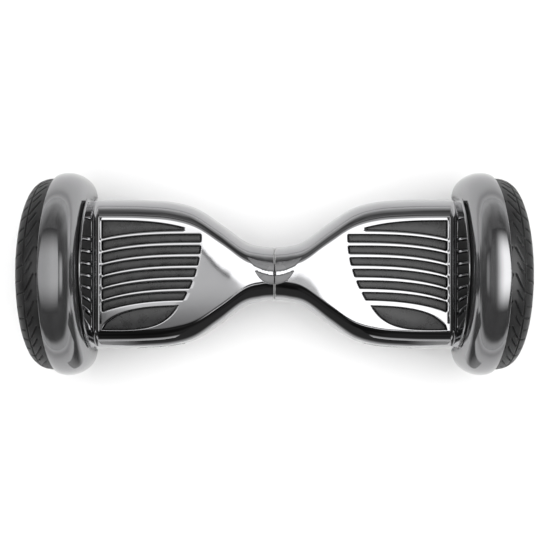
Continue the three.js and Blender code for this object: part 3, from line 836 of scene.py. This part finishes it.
# ---- Lamps ----
def crescent_lens(side, prefix, index, node):
    outline = CRESCENTS[index]
    n = len(outline) // 2
    upper, lower = outline[:n], outline[n:]
    count = 60
    s = np.linspace(0, 1, count)

    def sample(chain):
        along = np.insert(np.cumsum(np.linalg.norm(np.diff(chain, axis=0), axis=1)), 0, 0)
        return np.stack([np.interp(s * along[-1], along, chain[:, i]) for i in (0, 1)], -1)

    upper, lower = sample(upper), sample(lower[::-1])
    keep = upper[:, 0] > -0.5
    upper, lower = upper[keep], lower[keep]
    upper[:, 0] = np.maximum(upper[:, 0], 0.8)
    lower[:, 0] = np.maximum(lower[:, 0], 0.8)
    rows = []
    for share, sink in ((0.02, 1.3), (0.03, 0.35), (0.06, 0.12), (0.12, 0.02), (0.3, 0), (0.5, 0),
                        (0.7, 0), (0.88, 0.02), (0.94, 0.12), (0.97, 0.35), (0.98, 1.3)):
        line = upper + (lower - upper) * share
        z = deck_height(line[:, 0], line[:, 1]) - sink
        rows.append(np.column_stack([line, z]))
    skin = Skin()
    skin.grid(np.array(rows))
    skin.piece(f"{prefix}_{node}_lens", f"{prefix}_half", LENS, side, f"{prefix}_{node}",
               "lamp_lens", 50)


def flank_y(x, z):
    flat = top_flat(x)
    return -(flat + (half_width(x) - flat) * np.sqrt(1 - np.clip(z / top_rise(x), 0, 1) ** 2))


def headlight(side, prefix):
    centre = np.array([150, 8.2])
    rows = []
    for scale, depth in ((0.965, 2.6), (0.965, 0.5), (0.94, 0.16), (0.88, 0.03), (0.7, 0), (0.4, 0),
                         (0.02, 0)):
        ring = centre + (HEADLIGHT - centre) * scale
        rows.append(np.column_stack([ring[:, 0], flank_y(ring[:, 0], ring[:, 1]) + depth, ring[:, 1]]))
    skin = Skin()
    skin.grid(np.array(rows).transpose(1, 0, 2), wrap=True)
    skin.piece(f"{prefix}_headlight_glass", f"{prefix}_half", CLEAR, side, f"{prefix}_headlight_lens",
               "clear_lens", 50)
    lamps = Skin()
    for x in np.linspace(128, 172, 6):
        profile = [(0, 0.01), (0, 1.1), (0.3, 1.6), (1.0, 2.0), (1.6, 2.6), (1.6, 3.1)]
        rim = turned(profile, full_turn(24))
        y = float(flank_y(x, 8.2)) + 1.0
        lamps.grid(np.stack([x + rim[..., 1], y + 1.4 - rim[..., 0], 8.2 + rim[..., 2]], -1), wrap=True)
    lamps.piece(f"{prefix}_headlight_cups", f"{prefix}_half", ALLOY, side, None, "cast_alloy", 50)


# ---- Fender ----
FENDER_OUTER = spline([
    (238.2, 103.2), (238.9, 108.5), (241.4, 116.5), (246, 123.6), (253, 129.2), (262, 132.8),
    (270, 133.8), (276, 133.3), (280.2, 132.1),
], 8)


def fender(side, prefix):
    lip_round = [(280.8, 131.6), (281.0, 130.9), (280.7, 130.2), (280.0, 129.9)]
    inner = spline([
        (276, 130.7), (270, 131.1), (262, 130.2), (254.2, 126.9), (248, 121.8), (244.6, 116), (243.6, 108),
    ], 6)
    flange = [(243.6, 98), (243.6, 82), (243.2, 80.4), (242.4, 80), (241.6, 80.4), (241.2, 82),
              (241.0, 96), (240.2, 101), (239.4, 102.3), (238.6, 102.4)]
    profile = np.vstack([FENDER_OUTER, lip_round, inner, flange, FENDER_OUTER[:1]])
    angles = np.linspace(0, 1, 181)
    dip = np.arcsin(np.clip(13.4 / profile[:, 1], 0, 1))
    sweep = -dip[None, :] + (math.pi + 2 * dip[None, :]) * angles[:, None]
    radius = profile[None, :, 1]
    x = np.broadcast_to(profile[:, 0], sweep.shape)
    sheet = np.stack([x, radius * np.cos(sweep), radius * np.sin(sweep)], -1)
    skin = Skin()
    skin.grid(sheet)
    skin.cap(sheet[0, :-1])
    skin.cap(sheet[-1, :-1])
    # The fender takes the darker chrome, whose darker grey is painted shade.
    skin.piece(f"{prefix}_chrome_fender", f"{prefix}_half", FENDER_CHROME_PAINTED_SHADE, side, f"{prefix}_fender",
               "chrome_plated_shell", 35)


# ---- Wheel ----
PITCHES = 24
TREAD_R = 126.5
BOLT_CIRCLE = 65
VALVE_R = 79.5


def groove_depth(across, around):
    """Depth of the tread pattern, from the distance across the tread and the length round it."""
    pitch = 2 * math.pi * TREAD_R / PITCHES
    a = np.mod(around, pitch)
    across = np.abs(across)
    long_cut = [(2.0, 0), (6.5, 9.5), (12.5, 21), (17, 23.5), (25, 26.5)]
    short_cut = [(4.5, 20), (7.5, 26.5), (11.5, 33)]
    side_cut = [(17.5, 8), (30, 12)]
    best = np.full(a.shape, 9.0)
    for path in (long_cut, short_cut, side_cut):
        for (p, q), (r, s) in zip(path, path[1:]):
            for turn in (-pitch, 0, pitch):
                dx, dy = r - p, s - q
                t = np.clip(((across - p) * dx + (a - q - turn) * dy) / (dx * dx + dy * dy), 0, 1)
                best = np.minimum(best, np.hypot(across - p - t * dx, a - q - turn - t * dy))
    cut = 2.0 * (1 - ease(best, 0.45, 1.25))
    ring = 1.8 * (1 - ease(np.abs(across - 14.3), 0.4, 1.1))
    return np.maximum(cut, ring)


def tyre(side, prefix):
    half = [(0, 126.5), (5, 126.4), (10, 125.8), (15, 124.4), (20, 121.6), (24, 117.6), (27, 111.8),
            (28.7, 105), (28.6, 98.5), (26.6, 92.5), (22.6, 88.4), (21, 86.5), (20.7, 83), (20.4, 80.6)]
    curve = spline(half, 7)
    length = np.insert(np.cumsum(np.hypot(*np.diff(curve, axis=0).T)), 0, 0)
    s = np.concatenate([np.arange(0, 34, 0.75), np.linspace(34, length[-1], 22)])
    x, r = (np.interp(s, length, curve[:, i]) for i in (0, 1))
    x = np.concatenate([-x[:0:-1], x])
    r = np.concatenate([r[:0:-1], r])
    s = np.concatenate([-s[:0:-1], s])
    angles = full_turn(PITCHES * 32)
    grid_s, grid_a = np.meshgrid(s, angles)
    depth = groove_depth(grid_s, grid_a * TREAD_R) * (np.abs(grid_s) < 31)
    bands = 0.5 * (1 - ease(np.abs(np.abs(grid_s) - 38), 0.6, 1.4)) + 0.4 * (
        1 - ease(np.abs(np.abs(grid_s) - 44), 0.3, 0.9))
    radius = r[None, :] - depth - bands
    across = np.broadcast_to(x + WHEEL_X, radius.shape)
    sheet = np.stack([across, radius * np.cos(grid_a), radius * np.sin(grid_a)], -1)
    skin = Skin()
    skin.grid(sheet, wrap=True)
    liner = [(20.4, 80.6), (16, 80.6), (16, 92), (-16, 92), (-16, 80.6), (-20.4, 80.6)]
    skin.grid(turned([(WHEEL_X + a, b) for a, b in liner], angles[::16]), wrap=True)
    skin.piece(f"{prefix}_treaded_tyre", f"{prefix}_wheel", TREAD, side, f"{prefix}_tyre",
               "tyre_rubber", 55)


def rim(side, prefix):
    o = WHEEL_X
    profile = [
        (o - 27, 19), (o - 27, 27), (o - 23.2, 31), (o - 22.6, 36), (o - 22.6, 70), (o - 23, 74),
        (o - 24.4, 82), (o - 24.5, 84.8), (o - 23.9, 85.7), (o - 22.8, 85.9), (o - 22, 85.4), (o - 21.6, 83),
        (o - 21.4, 79.2), (o + 21.4, 79.2), (o + 21.6, 83), (o + 22, 85.4), (o + 22.8, 85.9),
        (o + 23.9, 85.7), (o + 24.5, 84.8), (o + 24.2, 82), (o + 22.4, 77), (o + 21.6, 75), (o + 20.6, 74.2),
        (o + 19, 74), (o + 19, 70), (o - 18, 70), (o - 18, 30), (o - 16, 26), (o - 16, 19), (o - 27, 19),
    ]
    skin = Skin()
    skin.grid(turned(profile, full_turn(144)), wrap=True)
    skin.piece(f"{prefix}_wheel_rim", f"{prefix}_wheel", ALLOY, side, f"{prefix}_hub",
               "cast_alloy", 30)


def hub_cover(side, prefix):
    """A dished cover with six broad spokes in relief and a raised cap."""
    x0 = WHEEL_X + 19.3
    radii = np.concatenate([[0.01, 5, 10, 13, 15, 16, 17, 18.5, 20, 22], np.linspace(23.5, 66, 52),
                            [67, 68, 69, 70, 71, 72, 72.8, 73.2]])
    angles = full_turn(360)
    r, a = np.meshgrid(radii, angles)
    face = np.interp(r, [0, 12, 15, 17, 19, 24, 60, 67, 71, 72.8, 73.2],
                     [5.6, 5.5, 5.2, 4.0, 2.6, 2.4, 1.8, 2.2, 3.0, 2.6, 0.6])
    turn = np.mod(a + 0.35 * ease(r, 20, 66), math.pi / 3) - math.pi / 6
    half = np.interp(r, [22, 40, 64], [0.2, 0.3, 0.34])
    window = ease(half - np.abs(turn), 0.0, 0.06) * ease(r, 27, 30) * (1 - ease(r, 58, 62))
    x = x0 + face - 1.1 * window
    skin = Skin()
    skin.grid(np.stack([x, r * np.cos(a), r * np.sin(a)], -1), wrap=True)
    for i in range(6):
        angle = (i * math.pi) / 3 + math.pi / 6
        head = [(x0 + 1.6, 4.4), (x0 + 4.0, 4.4), (x0 + 4.6, 4.0), (x0 + 4.8, 3.2), (x0 + 4.8, 2.3),
                (x0 + 3.0, 2.2), (x0 + 3.0, 0.01)]
        bolt = turned(head, full_turn(24))
        bolt[..., 1] += BOLT_CIRCLE * math.cos(angle)
        bolt[..., 2] += BOLT_CIRCLE * math.sin(angle)
        skin.grid(bolt, wrap=True)
    skin.piece(f"{prefix}_hub_face", f"{prefix}_wheel", ALLOY, side, f"{prefix}_hub_cover",
               "cast_alloy", 30)


def valve(side, prefix):
    o = WHEEL_X + 24.4
    profile = [(o, 0.01), (o, 3.0), (o + 1.0, 3.0), (o + 1.2, 2.6), (o + 1.6, 2.9), (o + 2.0, 2.6),
               (o + 2.4, 2.9), (o + 2.8, 2.6), (o + 3.3, 2.6), (o + 3.7, 2.2), (o + 3.8, 0.01)]
    stem = turned(profile, full_turn(32))
    stem[..., 2] += VALVE_R
    skin = Skin()
    skin.grid(stem, wrap=True)
    skin.piece(f"{prefix}_valve_cap", f"{prefix}_wheel", BLACK, side, f"{prefix}_valve",
               "black_plastic", 40)


# ---- Studio ----
def plane(name, corners, z, material):
    mesh = bpy.data.meshes.new(name)
    mesh.from_pydata([(x, y, z) for x, y in corners], [], [tuple(range(len(corners)))])
    mesh.materials.append(material)
    made = bpy.data.objects.new(name, mesh)
    bpy.context.scene.collection.objects.link(made)
    return made


def band(tree, source, low, high, first, last):
    """A smooth step: first where the source is at low, last where it is at high."""
    node = tree.nodes.new("ShaderNodeMapRange")
    node.interpolation_type = "SMOOTHSTEP"
    for name, value in (("From Min", low), ("From Max", high), ("To Min", first), ("To Max", last)):
        node.inputs[name].default_value = value
    tree.links.new(source, node.inputs["Value"])
    return node.outputs["Result"]


def combine(tree, kind, *sources):
    node = tree.nodes.new("ShaderNodeMath")
    node.operation = kind
    for source, socket in zip(sources, node.inputs):
        tree.links.new(source, socket)
    return node.outputs["Value"]


CARD_Z = 2.2
# For each soft side of a card: its axis, where the side lies on it, and where full strength begins.
CARD_SIDES = {"W": (0, 0, 0.4), "E": (0, 1, 0.6), "S": (1, 0, 0.4), "N": (1, 1, 0.6)}


def card(name, corners, z, near, far=None, fade=(0, 1), soft="", ends=0.0):
    """A card that only shows in reflections: its strength runs from near to far along its Y, and dies
    away towards its soft sides; ends is what a dark one rises to at its left and right."""
    material = bpy.data.materials.new(name + "_light")
    material.use_nodes = True
    tree = material.node_tree
    tree.nodes.clear()
    light = tree.nodes.new("ShaderNodeEmission")
    out = tree.nodes.new("ShaderNodeOutputMaterial")
    tree.links.new(light.outputs["Emission"], out.inputs["Surface"])
    coords = tree.nodes.new("ShaderNodeTexCoord")
    split = tree.nodes.new("ShaderNodeSeparateXYZ")
    tree.links.new(coords.outputs["Generated"], split.inputs["Vector"])
    x, y = split.outputs["X"], split.outputs["Y"]
    level = band(tree, y, *fade, near, near if far is None else far)
    for letter in soft:
        axis, edge, full = CARD_SIDES[letter]
        level = combine(tree, "MULTIPLY", level, band(tree, (x, y)[axis], edge, full, 0, 1))
    if ends:
        for start, edge in ((0.17, 0), (0.83, 1)):
            level = combine(tree, "MAXIMUM", level, band(tree, x, start, edge, 0, ends))
    tree.links.new(level, light.inputs["Strength"])
    made = plane(name, corners, z, material)
    made.visible_camera = False
    made.visible_diffuse = False
    made.visible_shadow = False
    return made


def floor_painted_shade_and_glow():
    """White near the board, a shade greyer round it as painted shade, and white again far away from a
    painted glow.
    """
    material, tree, shader = nodes_of("studio_floor")
    coords = tree.nodes.new("ShaderNodeTexCoord")
    reach = tree.nodes.new("ShaderNodeVectorMath")
    reach.operation = "LENGTH"
    tree.links.new(coords.outputs["Object"], reach.inputs[0])
    # Painted shade: the floor's colour greys from 0.5 m out to 1.3 m.
    tone = band(tree, reach.outputs["Value"], 0.5, 1.3, 0.9, 0.62)
    tree.links.new(tone, shader.inputs["Base Color"])
    # Painted light: from 1.2 m out the floor glows white, though it is no lamp.
    shader.inputs["Emission Color"].default_value = (1, 1, 1, 1)
    painted_glow = band(tree, reach.outputs["Value"], 1.2, 3.2, 0, 0.85)
    tree.links.new(painted_glow, shader.inputs["Emission Strength"])
    roughen(tree, shader, noise(tree, 2), 0.7, 0.8)
    return material


def rectangle(x0, y0, x1, y1):
    return [(x0, y0), (x1, y0), (x1, y1), (x0, y1)]


def studio():
    plane("floor", rectangle(-6, -6, 6, 6), 0.0, floor_painted_shade_and_glow())
    left = [(-0.64, 0.17), (-0.64, -0.13), (-0.37, -0.13), (-0.25, 0.09), (-0.25, 0.17)]
    right = [
        (-0.25, 0.17), (-0.25, 0.09), (-0.03, -0.005), (0.0, -0.03), (0.03, -0.07), (0.1, -0.14),
        (0.2, -0.38), (0.64, -0.38), (0.64, 0.17),
    ]
    card("softbox_left", left, CARD_Z, 1.4, 2.6)
    card("softbox_main", right, CARD_Z, 3.2)
    card("softbox_back", rectangle(-0.95, 0.17, 0.95, 0.36), CARD_Z, 3.2, 0.8)
    card("ceiling", rectangle(-2.4, -0.5, 2.4, 1.3), 2.3, 0.8, soft="WESN")
    card("softbox_strip", rectangle(-0.1, -0.8, 0.7, -0.52), CARD_Z, 2.2, soft="WESN")
    card("boom_arm", [(-0.27, 0.082), (-0.03, -0.02), (-0.03, 0.0), (-0.27, 0.102)], 2.19, 0.1)
    card("ceiling_patch", rectangle(-0.62, -0.26, 0.1, 0.2), 2.25, 0.35, 1.15, (0.1, 0.5))
    card("side_light_right", rectangle(0.95, -1.3, 2.7, 1.3), CARD_Z, 1.2, soft="WESN")
    card("side_light_left", rectangle(-2.7, -1.3, -0.95, 1.3), CARD_Z, 0.6, soft="WESN")
    for name, turn, reach, near, far in (
        ("glow_left", 90, (-0.07, 0.088), 1.3, 1.0), ("glow_right", -90, (-0.088, 0.07), 0.2, 3.6),
    ):
        glow = card(name, rectangle(reach[0], 0.243, reach[1], 0.3), 0.275, near, far, (0.2, 0.62), "WE")
        glow.rotation_euler.z = math.radians(turn)
    screen = [
        (-0.15, 0), (0.15, 0), (0.25, 0.09), (0.25, 0.15), (0.12, 0.155), (0.08, 0.26), (-0.08, 0.26),
        (-0.12, 0.155), (-0.25, 0.15), (-0.25, 0.09),
    ]
    flag = card("dark_front", screen, 0.0, 1.0, 0.06, (0.06, 0.42), ends=0.55)
    flag.rotation_euler = (math.radians(90), 0, 0)
    flag.location = (0, -0.2, 0)
    light = bpy.data.lights.new("overhead", "AREA")
    light.shape = "RECTANGLE"
    light.size, light.size_y = 3.6, 3.6
    light.energy = 130
    lamp = bpy.data.objects.new("overhead", light)
    lamp.location = (0.1, 0, 2.6)
    lamp.visible_glossy = False
    lamp.visible_camera = False
    bpy.context.scene.collection.objects.link(lamp)


def world():
    """A dim room: lighter behind the board, near black in front; plain and pale to the eye."""
    made = bpy.data.worlds.new("studio")
    made.use_nodes = True
    tree = made.node_tree
    tree.nodes.clear()
    coords = tree.nodes.new("ShaderNodeTexCoord")
    split = tree.nodes.new("ShaderNodeSeparateXYZ")
    tree.links.new(coords.outputs["Generated"], split.inputs["Vector"])
    x, y, z = (split.outputs[axis] for axis in "XYZ")

    def times(a, b):
        return combine(tree, "MULTIPLY", a, b)

    blotches = tree.nodes.new("ShaderNodeTexNoise")
    blotches.inputs["Scale"].default_value = 3.2
    blotches.inputs["Detail"].default_value = 2
    tree.links.new(coords.outputs["Generated"], blotches.inputs["Vector"])
    away = combine(tree, "ABSOLUTE", y)
    mottle = band(tree, blotches.outputs["Fac"], 0.3, 0.7, 0.4, 1.8)
    room = times(band(tree, y, -0.12, 0.25, 0.03, 0.13), mottle)
    dome = times(band(tree, z, 0.72, 0.95, 0, 0.35), band(tree, y, -0.2, 0.12, 0, 1))
    above = times(band(tree, z, 0.9, 0.99, 0, 1.2), band(tree, y, -0.06, 0.1, 0, 1))
    horizon = times(band(tree, z, 0.24, 0.07, 0, 0.85), band(tree, away, 0.2, 0.42, 0.06, 1))
    right_end = times(band(tree, z, 0.2, 0.05, 0, 0.4), band(tree, x, 0.6, 0.95, 0, 1))
    horizon = combine(tree, "ADD", horizon, right_end)
    back = times(band(tree, z, 0.5, 0.12, 0, 0.5), band(tree, y, 0.3, 0.7, 0, 1))
    level = combine(tree, "ADD", room, combine(tree, "ADD", dome, above))
    level = combine(tree, "ADD", level, combine(tree, "MAXIMUM", horizon, back))
    shade = tree.nodes.new("ShaderNodeBackground")
    tree.links.new(level, shade.inputs["Color"])
    seen = tree.nodes.new("ShaderNodeBackground")
    seen.inputs["Color"].default_value = (0.95, 0.95, 0.95, 1)
    path = tree.nodes.new("ShaderNodeLightPath")
    mix = tree.nodes.new("ShaderNodeMixShader")
    out = tree.nodes.new("ShaderNodeOutputWorld")
    tree.links.new(path.outputs["Is Camera Ray"], mix.inputs["Fac"])
    tree.links.new(shade.outputs["Background"], mix.inputs[1])
    tree.links.new(seen.outputs["Background"], mix.inputs[2])
    tree.links.new(mix.outputs["Shader"], out.inputs["Surface"])
    bpy.context.scene.world = made


def camera():
    data = bpy.data.cameras.new("camera")
    data.lens = 56.5
    data.sensor_width = 36
    data.shift_x = 0.0009
    data.shift_y = -0.0018
    made = bpy.data.objects.new("camera", data)
    made.location = (0, 0, 1.2765)
    bpy.context.scene.collection.objects.link(made)
    bpy.context.scene.camera = made


# ---- Assembly ----
dress_cad_nodes()
for side, prefix in ((1, "right"), (-1, "left")):
    top_shell(side, prefix)
    bottom_shell(side, prefix)
    screws(side, prefix)
    foot_mat(side, prefix)
    kick_pad(side, prefix)
    crescent_lens(side, prefix, 0, "lamp_upper")
    crescent_lens(side, prefix, 1, "lamp_lower")
    headlight(side, prefix)
    fender(side, prefix)
    tyre(side, prefix)
    rim(side, prefix)
    hub_cover(side, prefix)
    valve(side, prefix)

studio()
world()
camera()
bpy.context.scene.view_settings.view_transform = "Standard"
